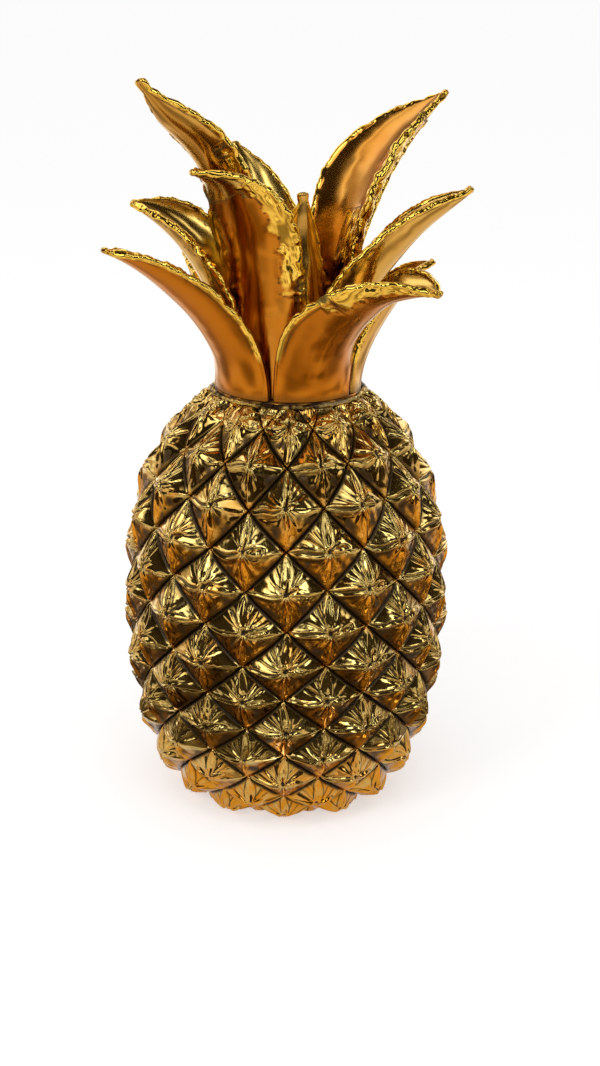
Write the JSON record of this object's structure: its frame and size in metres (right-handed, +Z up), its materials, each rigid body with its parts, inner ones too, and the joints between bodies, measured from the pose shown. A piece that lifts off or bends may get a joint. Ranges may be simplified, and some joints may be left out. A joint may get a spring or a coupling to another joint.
{
  "type": "pineapple ornament",
  "caption": "Free-standing ceramic pineapple ornament: hollow barrel-shaped fruit with a lattice of blunt diamond eyes, topped by a crown of curved channel leaves, plated in gold.",
  "frame": {"origin": "centre of the felt pad's resting face, on the axis of the fruit", "axes": "+Z up along the axis of the fruit, -Y towards the front, +X to the right seen from the front"},
  "size_m": [0.1459, 0.1456, 0.3052],
  "materials": {
    "antique_gold_glaze": "gold plating over glazed ceramic, dark brown wash left in the grooves and creases",
    "bright_gold_glaze": "mirror-bright gold plating over glazed ceramic, hammered along the leaf edges",
    "felt": "short-pile black felt"
  },
  "bodies": {
    "root": {"felt_pad": "felt", "fruit_shell": "antique_gold_glaze", "crown_core": "bright_gold_glaze", "outer_leaf_left": "bright_gold_glaze", "outer_leaf_front": "bright_gold_glaze", "outer_leaf_right": "bright_gold_glaze", "outer_leaf_back_right": "bright_gold_glaze", "outer_leaf_back_left": "bright_gold_glaze", "middle_leaf_front": "bright_gold_glaze", "middle_leaf_right": "bright_gold_glaze", "middle_leaf_back_right": "bright_gold_glaze", "middle_leaf_back": "bright_gold_glaze", "middle_leaf_left": "bright_gold_glaze", "inner_leaf_left": "bright_gold_glaze", "inner_leaf_front": "bright_gold_glaze", "inner_leaf_right": "bright_gold_glaze", "inner_leaf_back": "bright_gold_glaze"}
  },
  "joints": []
}
